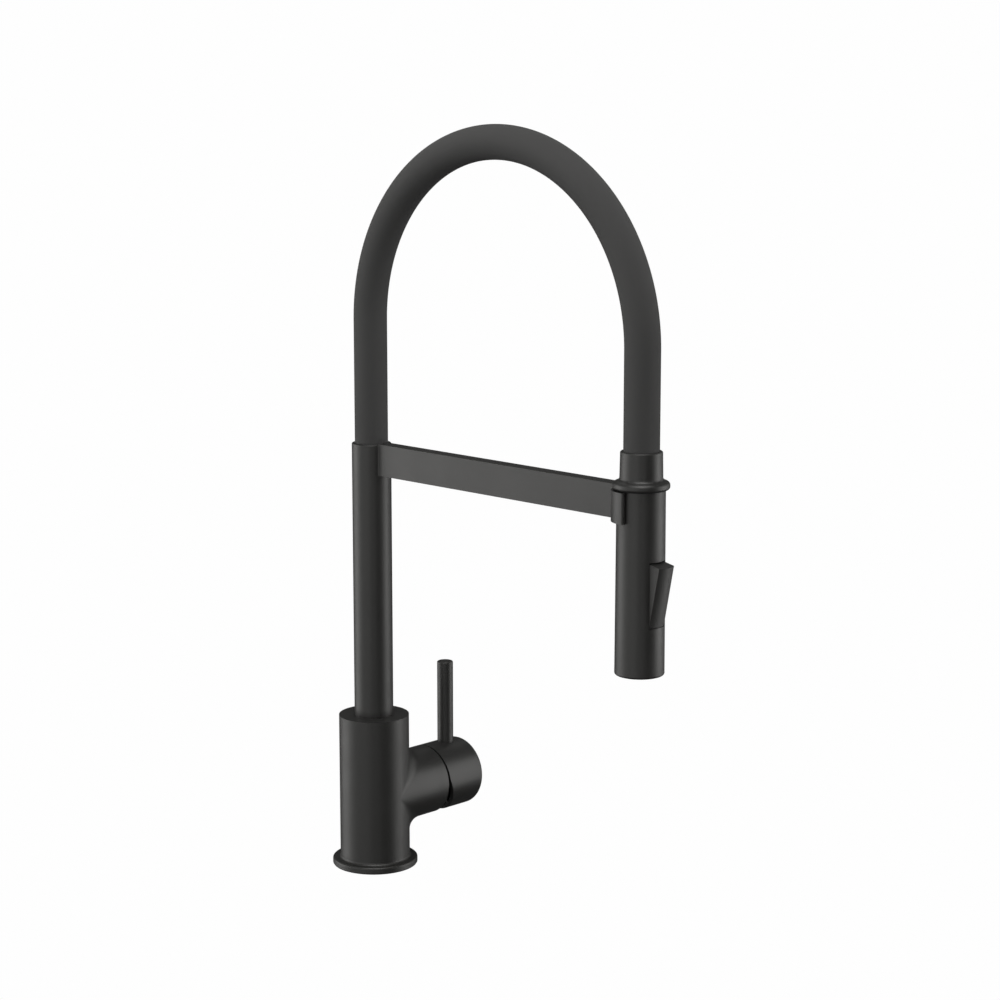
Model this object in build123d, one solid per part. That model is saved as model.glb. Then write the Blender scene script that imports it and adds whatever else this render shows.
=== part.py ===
from build123d import *
from math import radians, tan
import os

# Pull-down kitchen faucet with a hose arch, a side mixer and a docked spray head.
# Millimetres.  The origin is the centre of the base on the deck, +Z up, spout towards -Y, lever towards +X.

# ---- driving dimensions -------------------------------------------------------------------------
BODY_R = 25.0            # upright body, round a 35 mm cartridge
BODY_TOP = 110.4
FLANGE_R = 30.5
FLANGE_TOP = 4.9
GASKET_T = 0.8           # part of the base gasket that stands below the flange
BLEND_R = 2.0            # soft inner corner between the flange and the body
RIM_R = 1.3              # rounded upper edge of the flange

MIX_Z = 51.4             # height of the mixer's axis
MIX_R = 24.85            # mixer housing and handle cap
HOUSING_END = 50.5       # where the fixed housing ends, along X
CAP_END = 86.9
CAP_EDGE_R = 4.0
HOUSING_BLEND_R = 12.3   # blend where the housing leaves the body
PIVOT_X = 46.0           # pin that the lever tilts on

LEVER_X = 71.1
LEVER_R = 5.84
LEVER_TOP = 136.5

RISER_R = 13.84
RISER_WALL = 1.94
RISER_TOP = 307.1
FIT = 0.06               # running clearance on a radius
GAP = 0.3                # clearance between surfaces that only pass each other

ARM_T = 10.5
ARM_TOP = 307.7
ARM_BOTTOM = 285.5
WELD_R = 1.2             # braze fillet between the arm and the riser
REACH = 252.0            # from the riser's axis to the spray head's axis
CRADLE_R = 19.2
CRADLE_FRONT = 1.3       # how far the cradle's ends reach in front of the head's axis
CRADLE_TOP = 305.6
CRADLE_END_R = 1.2       # outer corners of the cradle's two end faces
CRADLE_LIP_R = 0.4       # their inner corners, beside the spray head

HOSE_R = 11.65
ARCH_Z = 394.0           # height of the arch's centre
HOSE_START = 288.0
HOSE_END = 318.5

HEAD_R = 15.84           # half way up; the shell widens a little towards its foot
HEAD_FOOT_R = 16.17
HEAD_NECK_R = 15.70
HEAD_BOTTOM = 185.3
HEAD_TOP = 305.9
HEAD_WALL = 2.2
RING_R = 18.45
RING_SHOULDER = 310.4    # where the ring's side ends and its sloping top begins
RING_TOP = 312.45        # where the sloping top meets the collar
RING_BLEND_R = 2.2
COLLAR_R = 13.6          # at its top
COLLAR_FOOT_R = 13.95
COLLAR_TOP = 330.5

PADDLE_HALF = 7.2        # half of the paddle's width
PADDLE_BOTTOM = 218.4
PADDLE_LENGTH = 40.5
PADDLE_LEAN = 11.2       # degrees that the paddle stands out at rest
PADDLE_PIN_Y = -12.2     # from the head's axis
PADDLE_PIN_Z = 221.2

UP = (Align.CENTER, Align.CENTER, Align.MIN)


def rod(r, z0, z1, x=0.0, y=0.0):
    """Upright round bar from z0 to z1."""
    return Pos(x, y, z0) * Cylinder(r, z1 - z0, align=UP)


def tube(r_out, r_in, z0, z1, x=0.0, y=0.0):
    """Upright tube from z0 to z1."""
    return rod(r_out, z0, z1, x, y) - rod(r_in, z0 - 1, z1 + 1, x, y)


def rod_x(r, x0, x1, y=0.0, z=MIX_Z):
    """Round bar along X from x0 to x1."""
    return Pos(x0, y, z) * Rot(0, 90, 0) * Cylinder(r, x1 - x0, align=UP)


def tube_x(r_out, r_in, x0, x1, y=0.0, z=MIX_Z):
    """Tube along X from x0 to x1."""
    return rod_x(r_out, x0, x1, y, z) - rod_x(r_in, x0 - 1, x1 + 1, y, z)


def rod_y(r, y0, y1, x=0.0, z=0.0):
    """Round bar along Y from y0 to y1."""
    return Pos(x, y0, z) * Rot(-90, 0, 0) * Cylinder(r, y1 - y0, align=UP)


def block(x0, x1, y0, y1, z0, z1):
    """Box between two corners."""
    return Pos((x0 + x1) / 2, (y0 + y1) / 2, (z0 + z1) / 2) * Box(x1 - x0, y1 - y0, z1 - z0)


def o_ring(r_mid, r_cord, z, x=0.0, y=0.0):
    """Rubber ring lying flat."""
    return Pos(x, y, z) * Torus(r_mid, r_cord)


# ---- base and body ------------------------------------------------------------------------------
RECESS_R = 19.0
RECESS_TOP = 6.0
STUD_X = -11.0
STUD_R = 3.4             # M8 thread, minor radius
THREAD_TOP = 14.0        # depth of the stud's hole and of the two inlets
BLOCK_TOP = 20.0
FOOT_TOP = 14.0          # joint between the foot ring and the body
INLET_X = 4.0
INLET_Y = 9.0
INLET_R = 4.5            # M10 x 1 thread, minor radius
PORT_R = 2.8
PORT_Z = MIX_Z - 5.0
OUTLET_Z = MIX_Z + 9.0
CAVITY_R = 17.6
CAVITY_X = 16.0
NUT_R = 19.4
NUT_X = 44.1
BORE_R = RISER_R + FIT
BORE_FLOOR = 79.0
RETAINER_Z = 93.0
RETAINER_R = 2.0


def base_casting():
    """Body and foot ring in one: column, flange, side housing, cartridge seat, water ways and spout bore."""
    column = rod(BODY_R, GASKET_T, BODY_TOP) + rod(FLANGE_R, GASKET_T, FLANGE_TOP)
    inner_corner = [e for e in column.edges() if abs(e.length - 6.2832 * BODY_R) < 0.1
                    and abs(e.center().Z - FLANGE_TOP) < 0.1]
    column = fillet(inner_corner, BLEND_R)
    rim = [e for e in column.edges() if abs(e.length - 6.2832 * FLANGE_R) < 0.1
           and abs(e.center().Z - FLANGE_TOP) < 0.1]
    column = fillet(rim, RIM_R)
    housing = rod_x(MIX_R, 0, HOUSING_END)
    shell = column + housing
    joint = [e for e in shell.edges() if 2 < e.bounding_box().min.X < 3.5 and e.length > 30
             and e.bounding_box().max.X < BODY_R + 0.2]
    shell = fillet(joint, HOUSING_BLEND_R)
    shell -= rod(RECESS_R, 0, BLOCK_TOP)
    shell -= rod_x(CAVITY_R, CAVITY_X, HOUSING_END + 1)
    shell -= rod_x(NUT_R, NUT_X - 0.1, HOUSING_END + 1)
    for side in (-1, 1):
        shell -= rod(PORT_R, BLOCK_TOP - 1, PORT_Z, INLET_X, side * INLET_Y)
        shell -= rod_x(PORT_R, INLET_X, CAVITY_X + 1, side * INLET_Y, PORT_Z)
    shell -= rod_x(PORT_R, 0, CAVITY_X + 1, 0, OUTLET_Z)
    shell -= rod(PORT_R + 1, OUTLET_Z - 2, BORE_FLOOR + 1)
    shell -= rod(BORE_R, BORE_FLOOR, BODY_TOP + 1)
    return shell - rod_y(RETAINER_R + 0.05, BORE_R - 1, BODY_R + 1, 0, RETAINER_Z)


def base_body():
    """Cast body above the foot ring."""
    return base_casting() - rod(2 * FLANGE_R, -1, FOOT_TOP)


def base_foot():
    """Foot ring with the flange, screwed to the body and flush with it."""
    return base_casting() & rod(2 * FLANGE_R, -1, FOOT_TOP)


def inlet_block():
    """Brass block pressed into the foot of the body, with the fixing stud's hole and the two inlets."""
    plug = rod(RECESS_R - 0.02, RECESS_TOP, BLOCK_TOP)
    plug -= rod(STUD_R, RECESS_TOP - 1, THREAD_TOP, STUD_X)
    for side in (-1, 1):
        plug -= rod(INLET_R, RECESS_TOP - 1, THREAD_TOP, INLET_X, side * INLET_Y)
        plug -= rod(PORT_R, THREAD_TOP - 1, BLOCK_TOP + 1, INLET_X, side * INLET_Y)
    return plug


def base_gasket():
    """Flat rubber ring that seals the flange to the deck."""
    return tube(FLANGE_R - 0.5, RECESS_R + 1.5, 0, GASKET_T)


def spout_retainer():
    """Grub screw at the back whose nose runs in the spout's groove."""
    nose = rod_y(1.5, 12.7, 14.5, 0, RETAINER_Z)
    thread = rod_y(RETAINER_R, 14.5, 21.5, 0, RETAINER_Z)
    socket = rod_y(1.1, 19.5, 22, 0, RETAINER_Z)
    return nose + thread - socket


# ---- cartridge ----------------------------------------------------------------------------------
SHELL_R = 17.4
SHELL_IN = 15.2
DISC_X = 21.0
SLIDE_X = 24.04
COUPLER_X = 27.0
CARRIER_X = 31.0
TAIL_X = 28.2
NECK_R = 10.5
SLIDE_R = 10.8
SLIDE_Z = MIX_Z - 3.1    # the sliding disc rests low, in the closed position
STEM_HALF = 4.0
PIN_R = 2.0


def ports(r, x0, x1):
    """The three water ports through the cartridge's base and lower disc."""
    hot = rod_x(r, x0, x1, -INLET_Y, PORT_Z)
    cold = rod_x(r, x0, x1, INLET_Y, PORT_Z)
    mixed = rod_x(r, x0, x1, 0, OUTLET_Z)
    return hot + cold + mixed


def cartridge_base():
    """Plastic foot of the cartridge, with a counterbore for each port seal."""
    foot = rod_x(SHELL_R, CAVITY_X + 0.4, DISC_X)
    return foot - ports(PORT_R, CAVITY_X, DISC_X + 1) - ports(4.3, CAVITY_X, CAVITY_X + 2)


def cartridge_seals():
    """Three rubber sleeves between the cartridge's foot and the body."""
    return ports(4.2, CAVITY_X + 0.02, CAVITY_X + 1.98) - ports(PORT_R + 0.2, CAVITY_X - 1, CAVITY_X + 3)


def cartridge_shell():
    """Plastic case that holds the discs and the lever carrier."""
    case = rod_x(SHELL_R, DISC_X, NUT_X - 0.1)
    case -= rod_x(SHELL_IN, DISC_X - 1, NUT_X - 3.1)
    return case - rod_x(NECK_R + FIT, DISC_X, NUT_X + 1)


def fixed_disc():
    """Lower ceramic disc with the three ports."""
    return rod_x(SHELL_IN - 0.1, DISC_X + 0.02, SLIDE_X - 0.04) - ports(PORT_R, DISC_X - 1, SLIDE_X + 1)


def moving_disc():
    """Upper ceramic disc with the mixing pocket in its lower face."""
    disc = rod_x(SLIDE_R, SLIDE_X, COUPLER_X, 0, SLIDE_Z)
    pocket = rod_x(7.5, SLIDE_X - 1, SLIDE_X + 1.4, 0, SLIDE_Z + 1)
    return disc - pocket


def disc_coupler():
    """Plastic piece on the upper disc that the lever's tail pushes."""
    plate = rod_x(SLIDE_R - 0.4, COUPLER_X, CARRIER_X - 0.5, 0, SLIDE_Z)
    slot = block(TAIL_X - 0.6, CARRIER_X, -2.7, 2.7, MIX_Z - 3.1, MIX_Z + 3.1)
    return plate - slot


def lever_carrier():
    """Turning piece that holds the lever's pin."""
    carrier = rod_x(SHELL_IN - 0.3, CARRIER_X, CARRIER_X + 4)
    carrier += rod_x(13, CARRIER_X + 4, NUT_X - 3.2)
    carrier += rod_x(NECK_R, NUT_X - 3.2, HOUSING_END - 0.5)
    slot = block(CARRIER_X - 1, HOUSING_END + 1, -STEM_HALF - 0.08, STEM_HALF + 0.08, MIX_Z - 7, MIX_Z + 8.8)
    bore = rod_y(PIN_R, -NECK_R - 1, NECK_R + 1, PIVOT_X, MIX_Z)
    return carrier - slot - bore


def pivot_pin():
    """Steel pin that the lever tilts on."""
    return rod_y(PIN_R, -9.4, 9.4, PIVOT_X, MIX_Z)


def cartridge_nut():
    """Brass ring that clamps the cartridge."""
    ring = tube_x(NUT_R - 0.02, NECK_R + 1.5, NUT_X, HOUSING_END)
    for turn in range(4):
        notch = Pos(0, 0, MIX_Z) * Rot(45 + 90 * turn, 0, 0) * block(HOUSING_END - 2.2, HOUSING_END + 1, -2, 2, 13, 16)
        ring -= notch
    return ring


DOME_R = 20.4
DOME_MOUTH = 60.5


def dome_cover():
    """Thin domed cover over the cartridge nut, inside the cap: a zone of a sphere about the lever's pin."""
    x_low = HOUSING_END
    x_mid = (x_low + DOME_MOUTH) / 2

    def on_sphere(r, x):
        return (x, 0, MIX_Z + (r * r - (x - PIVOT_X) ** 2) ** 0.5)

    outer, inner = DOME_R, DOME_R - 1.2
    face = make_face([
        ThreePointArc(on_sphere(outer, x_low), on_sphere(outer, x_mid), on_sphere(outer, DOME_MOUTH)),
        Line(on_sphere(outer, DOME_MOUTH), on_sphere(inner, DOME_MOUTH)),
        ThreePointArc(on_sphere(inner, DOME_MOUTH), on_sphere(inner, x_mid), on_sphere(inner, x_low)),
        Line(on_sphere(inner, x_low), on_sphere(outer, x_low)),
    ])
    return revolve(face, Axis((0, 0, MIX_Z), (1, 0, 0)), 360)


# ---- handle -------------------------------------------------------------------------------------
CAP_WALL = 3.0
CAP_REAR_TOP = 51.6      # rear edge at the top of the cap
WEDGE_X = 52.5           # where the rear face starts to slope away
WEDGE_Z = 4.0            # above the axis
WEDGE_DEG = 17.5
BOSS_X = 66.5
CAP_FLOOR = 80.0


def rear_cut():
    """Everything behind the cap's rear face, which slopes away below the axis."""
    reach = 40.0
    low_x = WEDGE_X + tan(radians(WEDGE_DEG)) * (WEDGE_Z + reach)
    face = make_face(Polyline([
        (0, 0, MIX_Z + reach),
        (CAP_REAR_TOP, 0, MIX_Z + reach),
        (CAP_REAR_TOP, 0, MIX_Z + MIX_R),
        (WEDGE_X, 0, MIX_Z + WEDGE_Z),
        (low_x, 0, MIX_Z - reach),
        (0, 0, MIX_Z - reach),
    ], close=True))
    return extrude(face, reach, dir=(0, 1, 0), both=True)


def handle_cap():
    """Hollow metal cap with a boss for the lever stem and seats for the pin lever and its grub screw."""
    cap = rod_x(MIX_R, HOUSING_END, CAP_END)
    end_rims = [e for e in cap.edges() if abs(e.center().X - CAP_END) < 0.01]
    rim = [e for e in end_rims if abs(e.length - 6.2832 * MIX_R) < 0.1]
    cap = fillet(rim, CAP_EDGE_R)
    cap -= rod_x(MIX_R - CAP_WALL, HOUSING_END - 1, CAP_FLOOR)
    inside = rod_x(MIX_R - 1, BOSS_X, CAP_FLOOR + 1)
    boss = rod_x(9.5, BOSS_X, CAP_FLOOR + 1)
    web = block(BOSS_X, LEVER_X + 6.5, -6, 6, MIX_Z - MIX_R, MIX_Z + MIX_R)
    cap += boss + (web & inside)
    cap -= block(BOSS_X - 1, CAP_FLOOR, -STEM_HALF, STEM_HALF, MIX_Z - STEM_HALF, MIX_Z + STEM_HALF)
    cap -= rod(LEVER_R, MIX_Z + MIX_R - 2.6, MIX_Z + MIX_R + 2, LEVER_X)
    cap -= rod(4.0, MIX_Z + 7, MIX_Z + MIX_R, LEVER_X)
    cap -= rod(RETAINER_R, MIX_Z - MIX_R - 1, MIX_Z, LEVER_X)
    cap -= rod(2.6, MIX_Z - MIX_R - 1, MIX_Z - MIX_R + 3.4, LEVER_X)
    return cap - rear_cut()


def lever_stem():
    """Square metal stem from the discs to the cap, with a thin tail."""
    stem = block(PIVOT_X - 6, CAP_FLOOR - 0.5, -STEM_HALF, STEM_HALF, MIX_Z - STEM_HALF, MIX_Z + STEM_HALF)
    stem += block(TAIL_X, PIVOT_X - 5, -2.4, 2.4, MIX_Z - 2, MIX_Z + 2)
    return stem - rod_y(PIN_R + FIT, -STEM_HALF - 1, STEM_HALF + 1, PIVOT_X, MIX_Z)


def lever_pin():
    """Pin lever: a plain round bar with a threaded foot."""
    bar = rod(LEVER_R, MIX_Z + MIX_R - 2.6, LEVER_TOP, LEVER_X)
    top = [e for e in bar.edges() if abs(e.center().Z - LEVER_TOP) < 0.01 and e.length > 30]
    bar = fillet(top, 0.9)
    return bar + rod(3.98, MIX_Z + 8, MIX_Z + MIX_R - 2, LEVER_X)


def handle_screw():
    """Grub screw under the cap that clamps the stem."""
    return rod(RETAINER_R, MIX_Z - 16, MIX_Z - STEM_HALF, LEVER_X) - rod(1.1, MIX_Z - 17, MIX_Z - 13, LEVER_X)


def handle_plug():
    """Small rubber plug over the grub screw's hole."""
    return rod(2.55, MIX_Z - MIX_R + 0.4, MIX_Z - MIX_R + 3.4, LEVER_X)


# ---- spout --------------------------------------------------------------------------------------
TUBE_FOOT = 104.0
SLEEVE_FOOT = 80.6
RISER_IN = RISER_R - RISER_WALL
GROOVE_Z = (87.0, 99.5)
SOCKET_Z = 255.0
FERRULE_Z = 275.0
FERRULE_R = 8.9


def riser_tube():
    """Straight upright tube of the spout."""
    pipe = tube(RISER_R, RISER_IN, TUBE_FOOT, RISER_TOP)
    top_rims = [e for e in pipe.edges() if abs(e.center().Z - RISER_TOP) < 0.01]
    rim = [e for e in top_rims if abs(e.length - 6.2832 * RISER_R) < 0.1]
    return fillet(rim, 0.8)


def swivel_sleeve():
    """Brass foot of the riser, with two seal grooves and the retaining groove."""
    sleeve = rod(RISER_R, SLEEVE_FOOT, TUBE_FOOT) + rod(RISER_IN - 0.02, TUBE_FOOT, TUBE_FOOT + 9)
    sleeve -= rod(7.5, SLEEVE_FOOT - 1, TUBE_FOOT + 10)
    for z in GROOVE_Z:
        sleeve -= tube(RISER_R + 1, RISER_R - 2.6, z - 1.6, z + 1.6)
    return sleeve - tube(RISER_R + 1, RISER_R - 1.7, RETAINER_Z - 1.9, RETAINER_Z + 1.9)


def swivel_seals():
    """Two O-rings that seal the spout in the body."""
    rings = [o_ring(RISER_R - 1.29, 1.27, z) for z in GROOVE_Z]
    return Compound(children=rings)


def thrust_washer():
    """Slippery plastic washer that the spout turns on."""
    return tube(RISER_R - 0.1, 8, BORE_FLOOR, SLEEVE_FOOT - 0.04)


def hose_socket():
    """Brass insert in the riser that the hose screws into."""
    return tube(RISER_IN - 0.02, 6.0, SOCKET_Z, FERRULE_Z)


def hose_ferrule_lower():
    """Crimped lower end of the hose, with its threaded nipple."""
    ferrule = rod(FERRULE_R, FERRULE_Z, 300.0) + rod(5.98, SOCKET_Z + 3, FERRULE_Z)
    return ferrule - rod(4.0, SOCKET_Z, 301.0)


def support_arm():
    """Flat bar brazed to the riser, with a round recess at its end for the docking ring."""
    bar = block(-ARM_T / 2, ARM_T / 2, -REACH + CRADLE_R - 1, 0, ARM_BOTTOM, ARM_TOP)
    bar += rod(RISER_R, ARM_BOTTOM - WELD_R - 1, ARM_TOP)
    seam = [e for e in bar.edges() if -RISER_R < e.center().Y < -RISER_R + 2.2 and e.center().Z < ARM_TOP - 1
            and abs(e.center().X) < ARM_T / 2 + 0.01]
    bar = fillet(seam, WELD_R)
    bar -= rod(RISER_R, ARM_BOTTOM - WELD_R - 2, ARM_TOP + 1)
    bar -= rod(CRADLE_R, ARM_BOTTOM - 1, CRADLE_TOP, 0, -REACH)
    return bar - rod(RING_R + GAP, CRADLE_TOP - 0.01, ARM_TOP + 1, 0, -REACH)


def cradle_end_edges(half, near, far):
    """Upright edges of the cradle's two end faces that stand between near and far from its middle plane."""
    face_y = -REACH - CRADLE_FRONT
    edges = half.edges().filter_by(Axis.Z)
    return [e for e in edges if abs(e.center().Y - face_y) < 0.01 and near < abs(e.center().X) < far]


def dock_cradle():
    """Half-round cradle, open at the front, that the spray head hangs in."""
    half = tube(CRADLE_R, HEAD_R + GAP, ARM_BOTTOM, CRADLE_TOP, 0, -REACH)
    half = half & block(-30, 30, -REACH - CRADLE_FRONT, -REACH + 30, 0, ARM_TOP)
    half = fillet(cradle_end_edges(half, HEAD_R + CRADLE_END_R, CRADLE_R), CRADLE_END_R)
    return fillet(cradle_end_edges(half, 0, HEAD_R + CRADLE_LIP_R), CRADLE_LIP_R)


# ---- hose ---------------------------------------------------------------------------------------
def hose_layer(r_out, r_in, z_start, z_end):
    """One layer of the hose: up out of the riser, half a circle over, and down to the spray head."""
    up = rod(r_out, z_start, ARCH_Z) - rod(r_in, z_start - 1, ARCH_Z + 1)
    down = rod(r_out, z_end, ARCH_Z, 0, -REACH) - rod(r_in, z_end - 1, ARCH_Z + 1, 0, -REACH)
    ring = Pos(0, -REACH / 2, ARCH_Z) * Rot(0, 90, 0) * (Torus(REACH / 2, r_out) - Torus(REACH / 2, r_in))
    arch = ring & block(-30, 30, -REACH - 30, 30, ARCH_Z, ARCH_Z + REACH)
    return up + arch + down


def hose_sheath():
    """Matt silicone sleeve."""
    return hose_layer(HOSE_R, 9.1, HOSE_START, HOSE_END)


def hose_coil():
    """Steel coil that holds the hose in its arch."""
    return hose_layer(9.0, 7.5, 300.0, 323.0)


def hose_liner():
    """Rubber tube that carries the water."""
    return hose_layer(7.2, 4.5, 300.0, 323.0)


def hose_ferrule_upper():
    """Crimped end of the hose at the spray head, with the flange that the swivel nut holds."""
    ferrule = rod(FERRULE_R, 296.0, 323.0, 0, -REACH) + rod(9.9, 296.0, 299.0, 0, -REACH)
    return ferrule - rod(4.0, 295.0, 324.0, 0, -REACH)


# ---- spray head ---------------------------------------------------------------------------------
HEAD_IN = HEAD_R - HEAD_WALL
SPIGOT_Z = 296.5
CUP_Z = 317.5
CORE_TOP = 293.0
POCKET_Y = -4.0          # back of the paddle's pocket, from the head's axis
WINDOW_TOP = 261.0
PIN_HALF = 8.9
PIN_BORE_R = 1.0
DIVERTER_Z = 250.0
PLUNGER_GAP = 0.3
PADDLE_BACK = -12.0      # inner face of the paddle at rest, from the head's axis
NOZZLES = ((9.6, 18), (7.6, 12))     # ring radius and number of jets


def paddle_window(side_gap, z0, z1):
    """Opening in the front of the head that the paddle moves in."""
    half = PADDLE_HALF + side_gap
    return block(-half, half, -REACH - HEAD_R - 12, -REACH + POCKET_Y, z0, z1)


def head_body():
    """Round metal shell of the spray head."""
    shell = Pos(0, -REACH, HEAD_BOTTOM) * Cone(HEAD_FOOT_R, HEAD_NECK_R, HEAD_TOP - HEAD_BOTTOM, align=UP)
    foot = [e for e in shell.edges() if abs(e.center().Z - HEAD_BOTTOM) < 0.01 and e.length > 90]
    shell = fillet(foot, 1.4)
    shell -= rod(HEAD_IN, HEAD_BOTTOM - 1, HEAD_TOP + 1, 0, -REACH)
    shell -= paddle_window(0.12, PADDLE_BOTTOM - 0.3, WINDOW_TOP)
    return shell - rod_x(PIN_BORE_R, -PIN_HALF - 0.1, PIN_HALF + 0.1, -REACH + PADDLE_PIN_Y, PADDLE_PIN_Z)


def head_collar():
    """Docking ring with a sloping top and hose collar, in one piece, screwed into the head."""
    outline = Polyline([
        (0, 0, HEAD_TOP),
        (RING_R, 0, HEAD_TOP),
        (RING_R, 0, RING_SHOULDER),
        (COLLAR_FOOT_R, 0, RING_TOP),
        (COLLAR_R, 0, COLLAR_TOP),
        (0, 0, COLLAR_TOP),
    ], close=True)
    whole = revolve(make_face(outline), Axis.Z, 360)
    for r, z, blend in ((RING_R, HEAD_TOP, 2.2), (RING_R, RING_SHOULDER, 2.6),
                        (COLLAR_FOOT_R, RING_TOP, RING_BLEND_R), (COLLAR_R, COLLAR_TOP, 1.0)):
        edge = [e for e in whole.edges() if abs(e.center().Z - z) < 0.01 and abs(e.length - 6.2832 * r) < 0.1]
        whole = fillet(edge, blend)
    whole = Pos(0, -REACH, 0) * whole + rod(HEAD_IN - 0.02, SPIGOT_Z, HEAD_TOP, 0, -REACH)
    whole -= rod(HOSE_R + GAP, CUP_Z, COLLAR_TOP + 1, 0, -REACH)
    return whole - rod(10.4, SPIGOT_Z - 1, CUP_Z + 1, 0, -REACH)


def swivel_nut():
    """Nut that holds the hose end so that the head can turn."""
    return tube(10.38, FERRULE_R + FIT, 299.1, 307.0, 0, -REACH)


def inlet_seal():
    """Rubber washer between the hose end and the head's core."""
    return tube(9.6, 6.0, CORE_TOP + 1.2, 295.9, 0, -REACH)


def head_core():
    """Plastic core with the water way, the check valve's seat and the diverter's bore."""
    core = rod(HEAD_IN - 0.1, 200.0, CORE_TOP, 0, -REACH)
    core -= paddle_window(0.5, 212.0, 263.0)
    core -= rod(7.0, CORE_TOP - 12, CORE_TOP + 1, 0, -REACH)
    core -= rod(3.2, 199.0, CORE_TOP - 11, 0, -REACH + 5)
    core -= rod_y(3.06, -REACH + POCKET_Y - 1, -REACH - 0.1, 0, DIVERTER_Z)
    return core


def check_valve():
    """Cartridge that stops dirty water flowing back."""
    return tube(6.98, 3.6, CORE_TOP - 12, CORE_TOP, 0, -REACH)


def inlet_filter():
    """Mesh washer that keeps grit out of the head."""
    sieve = rod(6.8, CORE_TOP, CORE_TOP + 1.1, 0, -REACH)
    for turn in range(6):
        sieve -= Pos(0, -REACH, 0) * Rot(0, 0, 60 * turn) * rod(1.2, CORE_TOP - 1, CORE_TOP + 2, 3.6)
    return sieve


def diverter_plunger():
    """Small plunger that the paddle pushes to change from stream to spray."""
    head = rod_y(1.8, -REACH + PADDLE_BACK + PLUNGER_GAP, -REACH - 6, 0, DIVERTER_Z)
    return head + rod_y(3.0, -REACH - 6.6, -REACH - 6, 0, DIVERTER_Z)


def spray_paddle():
    """Wedge paddle: a slice of the head's own curve, leaning out from its bottom edge."""
    slab = rod(HEAD_R, 0, PADDLE_LENGTH, 0, HEAD_R) & block(-PADDLE_HALF, PADDLE_HALF, -1, 12, 0, PADDLE_LENGTH)
    lean = Pos(0, -REACH - HEAD_R, PADDLE_BOTTOM) * Rot(PADDLE_LEAN, 0, 0) * slab
    back = block(-10, 10, -REACH + PADDLE_BACK, -REACH + 20, 200, 270)
    paddle = lean - back
    paddle += rod_x(2.2, -PADDLE_HALF, PADDLE_HALF, -REACH + PADDLE_PIN_Y, PADDLE_PIN_Z)
    return paddle - rod_x(PIN_BORE_R + FIT, -PADDLE_HALF, PADDLE_HALF, -REACH + PADDLE_PIN_Y, PADDLE_PIN_Z)


def paddle_pin():
    """Steel pin that the paddle rocks on."""
    return rod_x(PIN_BORE_R - 0.02, -PIN_HALF, PIN_HALF, -REACH + PADDLE_PIN_Y, PADDLE_PIN_Z)


def nozzle_places():
    """Centres of the spray jets."""
    places = []
    for ring_r, count in NOZZLES:
        places += [Vector(ring_r, 0, 0).rotate(Axis.Z, 360 * n / count) for n in range(count)]
    return places


def spray_face():
    """Plate at the head's mouth with a hole for each jet and for the aerator."""
    plate = rod(HEAD_IN - 0.05, 187.0, 190.0, 0, -REACH)
    plate -= rod(5.6, 186.0, 191.0, 0, -REACH)
    for p in nozzle_places():
        plate -= rod(0.7, 186.0, 191.0, p.X, p.Y - REACH)
    return plate


def spray_jets():
    """Soft silicone jets that lime can be rubbed off."""
    jets = []
    for p in nozzle_places():
        jets.append(tube(0.68, 0.3, 186.0, 190.0, p.X, p.Y - REACH))
    return Compound(children=jets)


def aerator():
    """Insert that makes the soft stream, with a star of thin ribs."""
    insert = tube(5.58, 4.6, 186.4, 196.0, 0, -REACH)
    for turn in range(3):
        insert += Pos(0, -REACH, 0) * Rot(0, 0, 60 * turn) * block(-4.7, 4.7, -0.3, 0.3, 187.0, 190.0)
    return insert


def head_seal():
    """O-ring between the core and the spray face."""
    return o_ring(HEAD_IN - 1.4, 1.2, 191.6, 0, -REACH)


def face_holder():
    """Threaded ring that carries the spray face under the core."""
    return tube(HEAD_IN - 0.1, 6.2, 193.0, 199.9, 0, -REACH)


PARTS = [
    base_body, base_foot, inlet_block, base_gasket, spout_retainer,
    cartridge_base, cartridge_seals, cartridge_shell, fixed_disc, moving_disc, disc_coupler,
    lever_carrier, pivot_pin, cartridge_nut, dome_cover,
    handle_cap, lever_stem, lever_pin, handle_screw, handle_plug,
    riser_tube, swivel_sleeve, swivel_seals, thrust_washer, hose_socket, hose_ferrule_lower,
    support_arm, dock_cradle,
    hose_sheath, hose_coil, hose_liner, hose_ferrule_upper,
    head_body, head_collar, swivel_nut, inlet_seal, head_core, check_valve, inlet_filter,
    diverter_plunger, spray_paddle, paddle_pin,
    spray_face, spray_jets, aerator, head_seal, face_holder,
]

os.makedirs("parts", exist_ok=True)
for make in PARTS:
    export_step(make(), f"parts/{make.__name__}.step")
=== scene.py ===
import math

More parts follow.
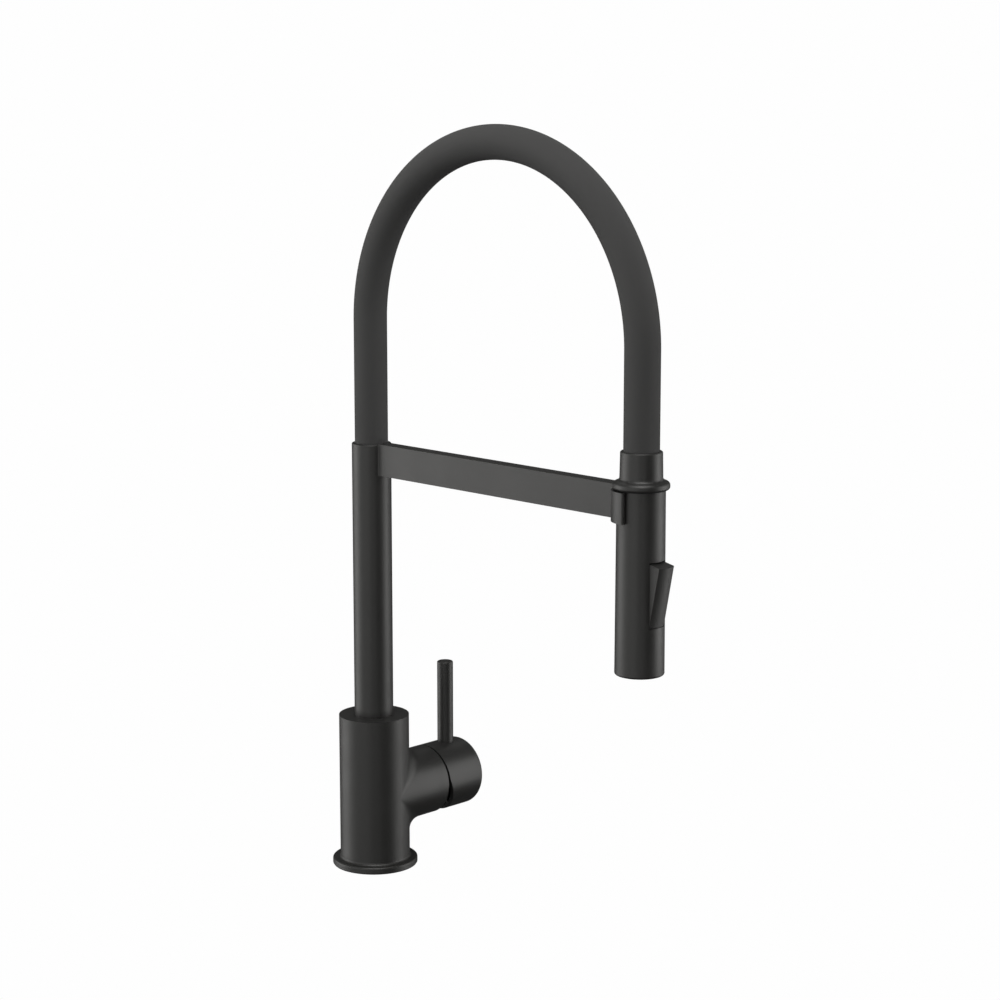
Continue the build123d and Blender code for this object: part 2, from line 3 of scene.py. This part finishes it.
import bpy
import numpy as np
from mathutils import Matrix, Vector


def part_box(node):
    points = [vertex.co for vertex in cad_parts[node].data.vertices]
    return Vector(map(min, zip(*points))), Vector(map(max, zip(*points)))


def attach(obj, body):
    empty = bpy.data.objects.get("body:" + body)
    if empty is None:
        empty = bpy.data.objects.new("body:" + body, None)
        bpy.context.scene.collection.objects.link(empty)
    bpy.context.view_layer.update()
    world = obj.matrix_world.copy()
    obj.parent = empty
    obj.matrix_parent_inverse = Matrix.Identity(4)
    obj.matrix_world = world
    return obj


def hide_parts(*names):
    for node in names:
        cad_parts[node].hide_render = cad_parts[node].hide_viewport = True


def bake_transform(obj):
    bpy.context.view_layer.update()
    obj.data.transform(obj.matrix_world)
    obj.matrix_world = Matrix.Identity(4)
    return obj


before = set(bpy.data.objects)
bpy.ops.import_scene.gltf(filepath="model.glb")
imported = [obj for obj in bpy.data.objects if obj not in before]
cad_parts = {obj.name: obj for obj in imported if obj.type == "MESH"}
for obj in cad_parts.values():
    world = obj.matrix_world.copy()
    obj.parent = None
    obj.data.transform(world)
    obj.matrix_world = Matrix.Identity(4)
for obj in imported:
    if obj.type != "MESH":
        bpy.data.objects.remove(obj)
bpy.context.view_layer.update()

# ---- camera --------------------------------------------------------------------------------------
# A camera on a stand in front and to the left of the faucet, a little above its middle, looking
# slightly down.  It aims half way between the riser and the spray head.
head_low, head_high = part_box("head_body")
HEAD_Y = (head_low.y + head_high.y) / 2
SIGHT_TURN = math.radians(45.474)
SIGHT_DIP = math.radians(10.579)
SIGHT_REACH = 1.705
aim = Vector((0.0, HEAD_Y / 2 - 0.0005, 0.2825))
sight = Vector((math.sin(SIGHT_TURN) * math.cos(SIGHT_DIP),
                math.cos(SIGHT_TURN) * math.cos(SIGHT_DIP),
                -math.sin(SIGHT_DIP)))
lens = bpy.data.cameras.new("camera")
lens.sensor_width = 36.0
lens.lens = 91.72
lens.clip_end = 200.0
camera = bpy.data.objects.new("camera", lens)
camera.location = aim - SIGHT_REACH * sight
camera.rotation_euler = sight.to_track_quat("-Z", "Y").to_euler()
bpy.context.scene.collection.objects.link(camera)
bpy.context.scene.camera = camera
bpy.context.scene.view_settings.view_transform = "Standard"


# ---- studio --------------------------------------------------------------------------------------
# A white floor that turns up into a white wall all round, and soft boxes left and right of the
# faucet.  The floor and wall glow evenly, as an overexposed sweep does, and light nothing.
def hex_colour(text, alpha=1.0):
    """Linear RGBA of an sRGB hex colour: each channel c becomes c/12.92, or ((c + 0.055)/1.055)^2.4."""
    srgb = np.array([int(text[i:i + 2], 16) for i in (0, 2, 4)]) / 255
    linear = np.where(srgb <= 0.04045, srgb / 12.92, ((srgb + 0.055) / 1.055) ** 2.4)
    return (*linear.tolist(), alpha)


def put(tree, kind, sockets=None, **settings):
    """Adds one node.  settings are the node's own options; sockets maps an input's name to a value,
    or to (other node, output name) for a link."""
    new = tree.nodes.new(kind)
    for name, value in settings.items():
        setattr(new, name, value)
    for name, value in (sockets or {}).items():
        socket = new.inputs[name]
        if isinstance(value, tuple) and isinstance(value[0], bpy.types.Node):
            tree.links.new(value[0].outputs[value[1]], socket)
        else:
            socket.default_value = value
    return new


def surface_mesh(name, points, close_u=False, close_v=False, caps=False):
    """Mesh of one or more grids of points, shape (..., rows, columns, 3): each cell between two rows and
    two columns is one face; close_u joins the last row to the first and close_v the last column to the
    first.  caps fills the first and the last row with one face each, where rows are closed rings."""
    rows, cols = points.shape[-3:-1]
    sheets = points.size // (3 * rows * cols)
    k = rows * cols * np.arange(sheets)[:, None, None]
    i = np.arange(rows if close_u else rows - 1)[None, :, None]
    j = np.arange(cols if close_v else cols - 1)[None, None, :]
    i2, j2 = (i + 1) % rows, (j + 1) % cols
    faces = np.stack([k + i * cols + j, k + i2 * cols + j, k + i2 * cols + j2, k + i * cols + j2], -1)
    mesh = bpy.data.meshes.new(name)
    mesh.vertices.add(sheets * rows * cols)
    mesh.vertices.foreach_set("co", points.reshape(-1).astype(np.float32))
    corners = faces.reshape(-1)
    starts = 4 * np.arange(faces.size // 4)
    if caps:
        ring = np.arange(cols)
        ends = np.stack([k[:, 0] + ring, k[:, 0] + (rows - 1) * cols + ring[::-1]], 1).reshape(-1)
        starts = np.concatenate([starts, corners.size + cols * np.arange(2 * sheets)])
        corners = np.concatenate([corners, ends])
    mesh.loops.add(corners.size)
    mesh.loops.foreach_set("vertex_index", corners.astype(np.int32))
    mesh.polygons.add(starts.size)
    mesh.polygons.foreach_set("loop_start", starts.astype(np.int32))
    mesh.update(calc_edges=True)
    mesh.polygons.foreach_set("use_smooth", np.ones(starts.size, bool))
    obj = bpy.data.objects.new(name, mesh)
    bpy.context.scene.collection.objects.link(obj)
    return obj


FLOOR_R = 30.0
WALL_H = 30.0
turn = np.linspace(0, 2 * math.pi, 97)[:-1]
reach = np.array([0.001, 5.0, 15.0, FLOOR_R - 5, FLOOR_R - 3, FLOOR_R - 1.2, FLOOR_R, FLOOR_R])
rise = np.array([0.0, 0.0, 0.0, 0.0, 0.5, 2.0, 5.0, WALL_H])
rings = np.stack([reach[:, None] * np.cos(turn), reach[:, None] * np.sin(turn), rise[:, None] + 0 * turn], -1)
sweep = surface_mesh("studio_sweep", rings, close_v=True)
paper = bpy.data.materials.new("overexposed white paper sweep")
paper.use_nodes = True
paper.node_tree.nodes.clear()
paper_glow = put(paper.node_tree, "ShaderNodeEmission", {"Color": hex_colour("FEFEFE"), "Strength": 1.0})
put(paper.node_tree, "ShaderNodeOutputMaterial", {"Surface": (paper_glow, "Emission")})
sweep.data.materials.append(paper)
sweep.visible_diffuse = False
sweep.visible_glossy = False
sweep.visible_shadow = False

world = bpy.data.worlds.new("studio_air")
world.use_nodes = True
world.node_tree.nodes["Background"].inputs["Color"].default_value = hex_colour("FFFFFF")
world.node_tree.nodes["Background"].inputs["Strength"].default_value = 0.06
bpy.context.scene.world = world


def soft_box(name, bearing, height, reach, width, tall, watts):
    """Rectangular light, very slightly warm, that faces the faucet.  bearing is in degrees round the
    faucet from the camera's own side, positive to the camera's right."""
    to_camera = Vector((-sight.x, -sight.y, 0)).normalized()
    to_right = Vector((sight.y, -sight.x, 0)).normalized()
    a = math.radians(bearing)
    middle = Vector((0, HEAD_Y / 2, 0.27))
    place = middle + reach * (math.cos(a) * to_camera + math.sin(a) * to_right)
    place.z = height
    light = bpy.data.lights.new(name, "AREA")
    light.shape = "RECTANGLE"
    light.size = width
    light.size_y = tall
    light.energy = watts
    light.color = hex_colour("FFFEFC")[:3]
    box = bpy.data.objects.new(name, light)
    box.location = place
    box.rotation_euler = (middle - place).to_track_quat("-Z", "Y").to_euler()
    bpy.context.scene.collection.objects.link(box)
    return box


# The two bright walls of light stand just behind the faucet's left and right sides and give its
# tubes their pale edges.  A weaker screen curves round the front left, and the rest hangs above.
for side, bearing, watts in (
        ("side_box", -120, 10.0), ("side_box", -100, 20.0), ("side_box", -80, 9.0),
        ("side_box", 80, 13.0), ("side_box", 100, 22.0), ("side_box", 130, 4.0),
        ("front_screen", -60, 5.0), ("front_screen", -40, 7.4), ("front_screen", -20, 8.0),
        ("front_screen", 10, 5.5)):
    soft_box(f"{side}_{bearing:+d}", bearing, height=0.35, reach=2.4, width=0.8, tall=2.6, watts=watts)
soft_box("top_box", 0, height=2.6, reach=0.6, width=1.6, tall=1.6, watts=40.0)
soft_box("top_front_box", 0, height=2.4, reach=2.0, width=1.6, tall=1.0, watts=12.0)
soft_box("top_back_box", 180, height=2.4, reach=1.5, width=1.6, tall=1.0, watts=7.0)


# ---- base and body -------------------------------------------------------------------------------
# Foot ring, cast body with its side housing, the brass block in the foot that the stud and the two
# supply hoses screw into, and the rubber gasket on the deck.  The outer pieces are powder coated.
MM = 0.001


def new_material(name):
    """Empty material with its tree, object coordinates and a Principled shader at the output."""
    material = bpy.data.materials.new(name)
    material.use_nodes = True
    tree = material.node_tree
    tree.nodes.clear()
    where = put(tree, "ShaderNodeTexCoord")
    shader = put(tree, "ShaderNodeBsdfPrincipled")
    put(tree, "ShaderNodeOutputMaterial", {"Surface": (shader, "BSDF")})
    return material, tree, where, shader


def grained(name, dark, light, gloss, dull, cloud_mm, grain_mm, relief_mm, ior=1.5, metal=0.0):
    """Even finish of two near-equal colours: a slow cloud, cloud_mm across, mixes the colours and turns
    the roughness from gloss to dull, and a fine grain, grain_mm across and relief_mm deep, is the bump."""
    material, tree, where, shader = new_material(name)
    cloud = put(tree, "ShaderNodeTexNoise", {"Vector": (where, "Object"), "Scale": 1 / (cloud_mm * MM),
                                             "Detail": 3.0, "Roughness": 0.55})
    tint = put(tree, "ShaderNodeMix", {"Factor": (cloud, "Fac"), "A": hex_colour(dark),
                                       "B": hex_colour(light)}, data_type="RGBA")
    sheen = put(tree, "ShaderNodeMapRange", {"Value": (cloud, "Fac"), "From Min": 0.3, "From Max": 0.7,
                                             "To Min": gloss, "To Max": dull})
    grain = put(tree, "ShaderNodeTexNoise", {"Vector": (where, "Object"), "Scale": 1 / (grain_mm * MM),
                                             "Detail": 2.0, "Roughness": 0.6})
    bump = put(tree, "ShaderNodeBump", {"Height": (grain, "Fac"), "Strength": 1.0,
                                        "Distance": relief_mm * MM})
    tree.links.new(tint.outputs["Result"], shader.inputs["Base Color"])
    tree.links.new(sheen.outputs["Result"], shader.inputs["Roughness"])
    tree.links.new(bump.outputs["Normal"], shader.inputs["Normal"])
    shader.inputs["Metallic"].default_value = metal
    shader.inputs["IOR"].default_value = ior
    return material


def machined(name, dark, light, rough, line_mm, along):
    """Bare metal from a lathe: noise drawn out round the piece and packed every line_mm along one axis,
    which colours the metal and cuts its fine tool lines."""
    material, tree, where, shader = new_material(name)
    packed = [1 / (30 * MM)] * 3
    packed["XYZ".index(along)] = 1 / (line_mm * MM)
    drawn = put(tree, "ShaderNodeMapping", {"Vector": (where, "Object"), "Scale": tuple(packed)})
    lines = put(tree, "ShaderNodeTexNoise", {"Vector": (drawn, "Vector"), "Scale": 1.0, "Detail": 4.0,
                                             "Roughness": 0.6})
    tint = put(tree, "ShaderNodeMix", {"Factor": (lines, "Fac"), "A": hex_colour(dark),
                                       "B": hex_colour(light)}, data_type="RGBA")
    wear = put(tree, "ShaderNodeMapRange", {"Value": (lines, "Fac"), "To Min": rough - 0.08,
                                            "To Max": rough + 0.08})
    bump = put(tree, "ShaderNodeBump", {"Height": (lines, "Fac"), "Strength": 1.0, "Distance": 0.01 * MM})
    tree.links.new(tint.outputs["Result"], shader.inputs["Base Color"])
    tree.links.new(wear.outputs["Result"], shader.inputs["Roughness"])
    tree.links.new(bump.outputs["Normal"], shader.inputs["Normal"])
    shader.inputs["Metallic"].default_value = 1.0
    return material


def finish_nodes(material, *names):
    """Gives every material slot of these nodes that material."""
    for name in names:
        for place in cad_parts[name].material_slots:
            place.material = material


# Baked matt black powder coat: deep, even black with soft highlights, broken up by flowed grains.
powder_coat = grained("matt black powder coat", "1D1D1C", "212120", 0.40, 0.46, 25, 0.9, 0.012)
# Nitrile rubber, moulded: dull black with a slight bloom.
nitrile = grained("moulded nitrile rubber", "121212", "1A1A1A", 0.55, 0.70, 12, 0.4, 0.01, ior=1.52)
# Free-cutting brass, turned: warm yellow with fine tool rings round each piece.
brass = machined("turned brass", "B08D4E", "CBA865", 0.30, 0.35, "Z")
finish_nodes(powder_coat, "base_foot", "base_body")
finish_nodes(nitrile, "base_gasket")
finish_nodes(brass, "inlet_block")


# ---- cartridge -----------------------------------------------------------------------------------
# The ceramic cartridge: acetal case, foot and carrier, two lapped alumina discs, rubber port seals,
# the steel pin that the lever tilts on, the brass nut that clamps it and the black dome over it.
# Acetal, moulded: milky white and faintly waxy.
acetal = grained("moulded white acetal", "E4E3DD", "EFEEE9", 0.38, 0.48, 15, 0.5, 0.006, ior=1.48)
# Alumina, lapped flat: near white, with a fine grey speckle and a smooth shine.
alumina = grained("lapped alumina ceramic", "D9D8D2", "F1F0EC", 0.12, 0.20, 0.6, 0.2, 0.002, ior=1.76)
# Stainless steel bar, ground: pale grey with fine rings.
steel = machined("ground stainless steel", "9A9A98", "B9B9B7", 0.26, 0.25, "Y")
# Brass that was turned about the mixer's own axis.
cross_brass = machined("cross-turned brass", "B08D4E", "CBA865", 0.30, 0.35, "X")
# ABS, moulded in a spark-eroded tool: satin black.
satin_abs = grained("satin black ABS", "1B1B1A", "20201F", 0.42, 0.50, 18, 0.5, 0.008, ior=1.54)
finish_nodes(acetal, "cartridge_base", "cartridge_shell", "disc_coupler", "lever_carrier")
finish_nodes(alumina, "fixed_disc", "moving_disc")
finish_nodes(nitrile, "cartridge_seals")
finish_nodes(steel, "pivot_pin")
finish_nodes(cross_brass, "cartridge_nut")
finish_nodes(satin_abs, "dome_cover")


# ---- handle --------------------------------------------------------------------------------------
# Coated brass cap and pin lever on a square brass stem.  A grub screw under the cap holds the stem,
# and a small black plug closes its hole.
finish_nodes(powder_coat, "handle_cap", "lever_pin")
finish_nodes(cross_brass, "lever_stem")
finish_nodes(steel, "handle_screw")
finish_nodes(satin_abs, "handle_plug")


# ---- spout ---------------------------------------------------------------------------------------
# Coated steel riser with its flat arm and half-round cradle, brazed and coated together.  Its brass
# foot turns in the body on an acetal washer, sealed by two O-rings and kept in by a grub screw.
finish_nodes(powder_coat, "riser_tube", "support_arm", "dock_cradle")
finish_nodes(brass, "swivel_sleeve", "hose_socket", "hose_ferrule_lower")
finish_nodes(nitrile, "swivel_seals")
finish_nodes(acetal, "thrust_washer")
finish_nodes(steel, "spout_retainer")


# ---- hose ----------------------------------------------------------------------------------------
# Three layers that rise out of the riser, go over in half a circle and come down into the spray
# head's collar: a matt silicone sleeve, the closely wound steel coil that holds the arch up, and
# the braided hose that carries the water.
sheath_low, sheath_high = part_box("hose_sheath")
HOSE_R = sheath_high.x
ARCH_R = (sheath_high.y - sheath_low.y) / 2 - HOSE_R
ARCH_Z = sheath_high.z - HOSE_R - ARCH_R


def along_hose(s, z_start):
    """Middle line of the hose at the lengths s from its start at z_start: straight up, then a half circle
    of radius ARCH_R at angle (s - rise) / ARCH_R, then straight down.  Returns the points and the
    directions that point away from the arch's centre, both of shape (len(s), 3)."""
    rise = ARCH_Z - z_start
    a = np.clip((s - rise) / ARCH_R, 0, math.pi)
    drop = np.minimum(s - rise, 0) - np.maximum(s - rise - math.pi * ARCH_R, 0)
    middle = np.stack([0 * s, ARCH_R * (np.cos(a) - 1), ARCH_Z + ARCH_R * np.sin(a) + drop], -1)
    return middle, np.stack([0 * s, np.cos(a), np.sin(a)], -1)


def hose_layer(name, r_out, r_in, z_start, z_end, rings, around):
    """Closed tube on the hose's middle line: the outer wall runs forward and the inner wall back, with
    a small bevel at each mouth.  The UV map holds the share of a turn and the length in metres."""
    length = ARCH_Z - z_start + math.pi * ARCH_R + ARCH_Z - z_end
    bevel = 0.25 * (r_out - r_in)
    s = np.linspace(bevel, length - bevel, rings)
    s = np.concatenate([[0], s, [length, length], s[::-1], [0]])
    r = np.concatenate([[r_out - bevel], np.full(rings, r_out), [r_out - bevel, r_in + bevel],
                        np.full(rings, r_in), [r_in + bevel]])
    middle, outward = along_hose(s, z_start)
    turn = np.linspace(0, 2 * math.pi, around, endpoint=False)
    side = np.array([1.0, 0.0, 0.0])
    spoke = np.cos(turn)[None, :, None] * outward[:, None] + np.sin(turn)[None, :, None] * side
    layer = surface_mesh(name, middle[:, None] + r[:, None, None] * spoke, close_u=True, close_v=True)
    share = np.stack([np.arange(around), np.arange(around), np.arange(1, around + 1),
                      np.arange(1, around + 1)], -1) / around
    far = np.stack([s, np.roll(s, -1), np.roll(s, -1), s], -1)
    uv = np.stack([share[None] + 0 * far[:, None], far[:, None] + 0 * share[None]], -1)
    layer.data.uv_layers.new(name="turn_and_length").data.foreach_set("uv", uv.reshape(-1).astype(np.float32))
    return layer


def hose_spring(name, r_mid, r_wire, pitch, z_start, z_end):
    """Coil on the hose's middle line: the wire's centre goes round at radius r_mid, one turn for each
    pitch of length, and each ring of the wire lies across the coil's radius and the hose's line."""
    length = ARCH_Z - z_start + math.pi * ARCH_R + ARCH_Z - z_end
    s = np.linspace(r_wire, length - r_wire, int(length / pitch * 18))
    middle, outward = along_hose(s, z_start)
    turn = 2 * math.pi * s / pitch
    side = np.array([1.0, 0.0, 0.0])
    spoke = np.cos(turn)[:, None] * outward + np.sin(turn)[:, None] * side
    line = np.cross(outward, side)
    ring = np.linspace(0, 2 * math.pi, 7)[:-1]
    points = middle[:, None] + r_mid * spoke[:, None] + r_wire * (
        np.cos(ring)[None, :, None] * spoke[:, None] + np.sin(ring)[None, :, None] * line[:, None])
    return surface_mesh(name, points, close_v=True, caps=True)


HEAD_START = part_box("head_collar")[1].z - 12 * MM
FERRULE_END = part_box("hose_ferrule_lower")[1].z
UPPER_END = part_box("hose_ferrule_upper")[1].z
sheath = hose_layer("silicone_sheath", r_out=HOSE_R, r_in=HOSE_R - 2.3 * MM, z_start=sheath_low.z,
                    z_end=HEAD_START, rings=300, around=96)
coil = hose_spring("arch_spring", r_mid=8.24 * MM, r_wire=0.74 * MM, pitch=1.7 * MM,
                   z_start=FERRULE_END, z_end=UPPER_END)
liner = hose_layer("water_hose", r_out=7.2 * MM, r_in=4.5 * MM, z_start=FERRULE_END, z_end=UPPER_END,
                   rings=260, around=64)

# Liquid silicone, extruded: dull charcoal that scatters light evenly, with a powdery fine grain.
silicone = grained("matt silicone sleeve", "3A3A3A", "404040", 0.80, 0.90, 30, 0.7, 0.012, ior=1.41)
sheath.data.materials.append(silicone)
# Spring steel wire, drawn and oiled: grey with a soft shine.
wire = grained("oiled spring steel wire", "7C7C7B", "949492", 0.28, 0.40, 6, 0.5, 0.004, metal=1.0)
coil.data.materials.append(wire)


def braid(name, dark, light, strands, lay_mm):
    """Woven cover of a hose: two sets of slanting strands, sin(turn) of strands times the share of a turn
    plus and minus the length over lay_mm; whichever set is higher shows, and the height is the bump."""
    material, tree, where, shader = new_material(name)
    split = put(tree, "ShaderNodeSeparateXYZ", {"Vector": (where, "UV")})
    round_way = put(tree, "ShaderNodeMath", {0: (split, "X"), 1: 2 * math.pi * strands}, operation="MULTIPLY")
    long_way = put(tree, "ShaderNodeMath", {0: (split, "Y"), 1: 2 * math.pi / (lay_mm * MM)},
                   operation="MULTIPLY")
    one = put(tree, "ShaderNodeMath", {0: (round_way, "Value"), 1: (long_way, "Value")}, operation="ADD")
    other = put(tree, "ShaderNodeMath", {0: (round_way, "Value"), 1: (long_way, "Value")},
                operation="SUBTRACT")
    one_wave = put(tree, "ShaderNodeMath", {0: (one, "Value")}, operation="SINE")
    other_wave = put(tree, "ShaderNodeMath", {0: (other, "Value")}, operation="SINE")
    top = put(tree, "ShaderNodeMath", {0: (one_wave, "Value"), 1: (other_wave, "Value")}, operation="MAXIMUM")
    share = put(tree, "ShaderNodeMapRange", {"Value": (top, "Value"), "From Min": -1.0, "From Max": 1.0})
    tint = put(tree, "ShaderNodeMix", {"Factor": (share, "Result"), "A": hex_colour(dark),
                                       "B": hex_colour(light)}, data_type="RGBA")
    bump = put(tree, "ShaderNodeBump", {"Height": (share, "Result"), "Strength": 1.0, "Distance": 0.15 * MM})
    tree.links.new(tint.outputs["Result"], shader.inputs["Base Color"])
    tree.links.new(bump.outputs["Normal"], shader.inputs["Normal"])
    shader.inputs["Roughness"].default_value = 0.55
    return material


# Nylon braid over rubber, woven in place: grey strands crossing a black ground.
liner.data.materials.append(braid("nylon braid on rubber", "141414", "5C5C5A", 24, 3.6))
for layer, node, finish in ((sheath, "hose_sheath", "silicone_sheath"), (coil, "hose_coil", "steel"),
                            (liner, "hose_liner", "black_rubber")):
    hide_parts(node)
    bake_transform(layer)
finish_nodes(brass, "hose_ferrule_upper")


# ---- spray head ----------------------------------------------------------------------------------
# Coated shell and docking collar round an acetal core with the check valve, filter and diverter.
# The satin paddle rocks on a steel pin; the face carries soft jets round the aerator.
finish_nodes(powder_coat, "head_body", "head_collar")
finish_nodes(satin_abs, "spray_paddle", "spray_face")
finish_nodes(acetal, "head_core", "check_valve", "diverter_plunger", "face_holder", "aerator")
finish_nodes(brass, "swivel_nut")
finish_nodes(nitrile, "inlet_seal", "head_seal")
finish_nodes(steel, "paddle_pin")


def wire_cloth(name, dark, light, mesh_mm):
    """Cloth woven of metal wires mesh_mm apart: a checker of the two greys, whose pale squares stand up."""
    material, tree, where, shader = new_material(name)
    cloth = put(tree, "ShaderNodeTexChecker", {"Vector": (where, "Object"), "Scale": 1 / (mesh_mm * MM),
                                               "Color1": hex_colour(dark), "Color2": hex_colour(light)})
    bump = put(tree, "ShaderNodeBump", {"Height": (cloth, "Fac"), "Strength": 1.0, "Distance": 0.05 * MM})
    tree.links.new(cloth.outputs["Color"], shader.inputs["Base Color"])
    tree.links.new(bump.outputs["Normal"], shader.inputs["Normal"])
    shader.inputs["Metallic"].default_value = 1.0
    shader.inputs["Roughness"].default_value = 0.4
    return material


# Woven stainless filter cloth: fine wires that read as one grey disc from a little way off.
finish_nodes(wire_cloth("woven filter cloth", "5E5E5C", "A6A6A3", 0.4), "inlet_filter")

face_low, face_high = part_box("spray_face")
jets_low, jets_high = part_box("spray_jets")
JET_R = 0.68 * MM
JET_HOLE_R = 0.3 * MM


def jet_nipples(name, rings):
    """Soft jets in rings of (radius, count): each is a nipple turned round an upright line, whose profile
    runs down the outside, in to the rounded tip, round the mouth and back up the hole."""
    z_low, z_face, z_top = jets_low.z, face_low.z, jets_high.z
    r = np.array([JET_R, JET_R, 0.95 * JET_R, 0.80 * JET_R, 0.66 * JET_R, 0.54 * JET_R, JET_HOLE_R,
                  JET_HOLE_R])
    z = np.array([z_top, z_face, z_face - 0.05 * MM, z_low + 0.25 * MM, z_low + 0.06 * MM, z_low,
                  z_low + 0.08 * MM, z_top])
    turn = np.linspace(0, 2 * math.pi, 24, endpoint=False)
    one = np.stack([r[:, None] * np.cos(turn), r[:, None] * np.sin(turn), z[:, None] + 0 * turn], -1)
    places = np.concatenate([np.stack([radius * np.cos(a), radius * np.sin(a), 0 * a], -1)
                             for radius, count in rings
                             for a in [2 * math.pi * np.arange(count) / count]])
    places[:, 1] += HEAD_Y
    return surface_mesh(name, places[:, None, None] + one, close_u=True, close_v=True)


jets = jet_nipples("soft_jets", ((9.6 * MM, 18), (7.6 * MM, 12)))
# Silicone, moulded through the face: dark grey, soft and dull, so that lime rubs off.
jets.data.materials.append(grained("moulded grey silicone", "55555A", "626266", 0.60, 0.72, 4, 0.3, 0.006,
                                   ior=1.41))
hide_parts("spray_jets")
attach(jets, "spray_head")


def woven_screen(name, radius, pitch, r_wire, height):
    """Round screen of crossed wires: wire k of each set lies at k times pitch from the middle, is as long
    as the circle's chord there, and rises and falls by cos(pi (u / pitch + k)) times 1.05 of its radius,
    so that it goes over one crossing wire and under the next."""
    count = int(radius / pitch - 0.5)
    across = pitch * (np.arange(-count, count + 1))
    chord = np.sqrt(radius ** 2 - across ** 2)
    u = chord[:, None] * np.linspace(-1, 1, 89)
    wave = 1.05 * r_wire * np.sin(math.pi * (u / pitch + np.arange(len(across))[:, None] + 0.5))
    ring = np.linspace(0, 2 * math.pi, 7)[:-1]
    v = across[:, None, None] + r_wire * np.cos(ring) + 0 * u[..., None]
    w = wave[..., None] + r_wire * np.sin(ring)
    along_x = np.stack([u[..., None] + 0 * v, v, w], -1)
    along_y = np.stack([v, u[..., None] + 0 * v, -wave[..., None] + r_wire * np.sin(ring)], -1)[..., ::-1, :]
    wires = np.concatenate([along_x[..., ::-1, :], along_y[..., ::-1, :]])
    return surface_mesh(name, wires + np.array([0.0, HEAD_Y, height]), close_v=True, caps=True)


# The screen lies half a millimetre above the face plate's upper side, just over the aerator's ribs.
screen = woven_screen("aerator_screen", radius=4.55 * MM, pitch=0.62 * MM, r_wire=0.13 * MM,
                      height=face_high.z + 0.5 * MM)
screen.data.materials.append(steel)
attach(screen, "spray_head")
